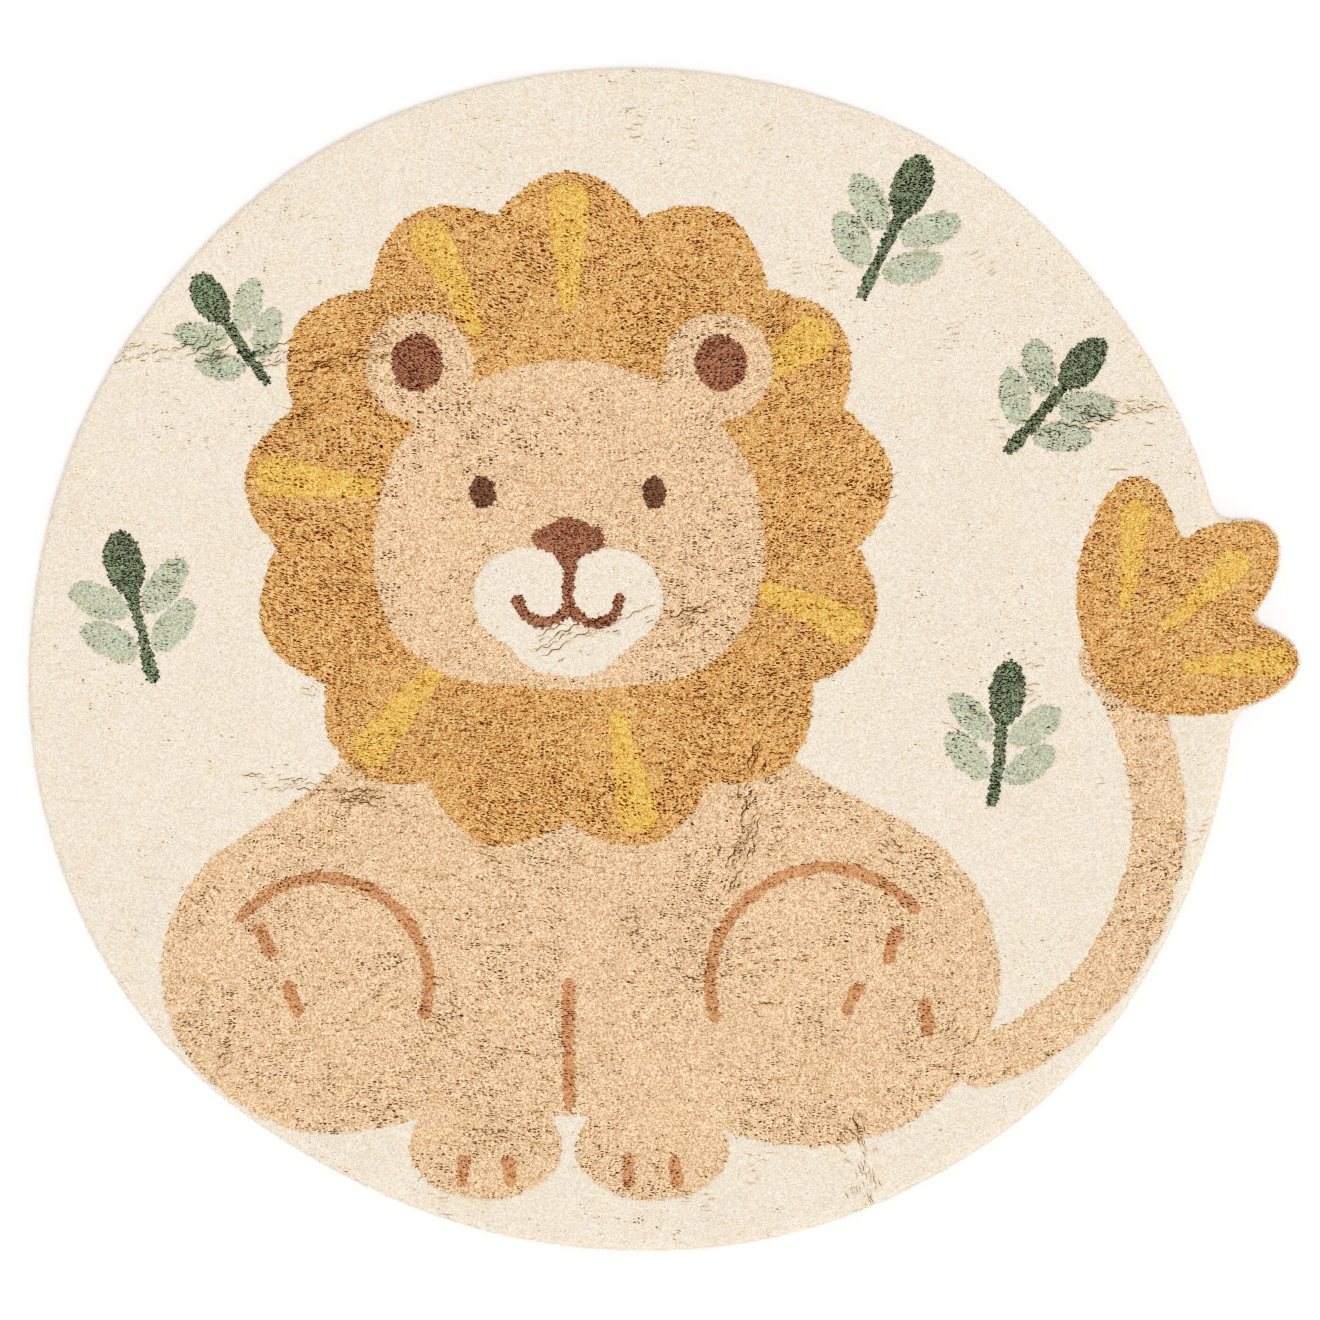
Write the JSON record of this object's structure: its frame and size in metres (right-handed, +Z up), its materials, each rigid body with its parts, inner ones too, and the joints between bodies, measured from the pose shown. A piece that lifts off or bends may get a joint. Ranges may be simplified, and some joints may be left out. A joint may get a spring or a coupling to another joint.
{
  "type": "kids rug",
  "caption": "Nearly round, short-pile kids rug with a smiling lion on a cream ground; the tail's tuft runs out over the edge.",
  "frame": {"origin": "middle of the rug's box, at the flat underside that lies on the floor", "axes": "+Z up out of the pile, +Y towards the top of the lion's head, +X towards the tail's tuft"},
  "size_m": [1.3, 1.2098, 0.0152],
  "materials": {
    "pile_cream": "cut cotton pile",
    "pile_tan": "cut cotton pile",
    "pile_camel": "cut cotton pile",
    "pile_mustard": "cut cotton pile",
    "pile_rust": "cut cotton pile",
    "pile_brown": "cut cotton pile",
    "pile_sage": "cut cotton pile",
    "pile_green": "cut cotton pile",
    "base_cloth": "plain woven cotton, seen from below"
  },
  "bodies": {
    "root": {"rug": "pile_cream"}
  },
  "joints": []
}
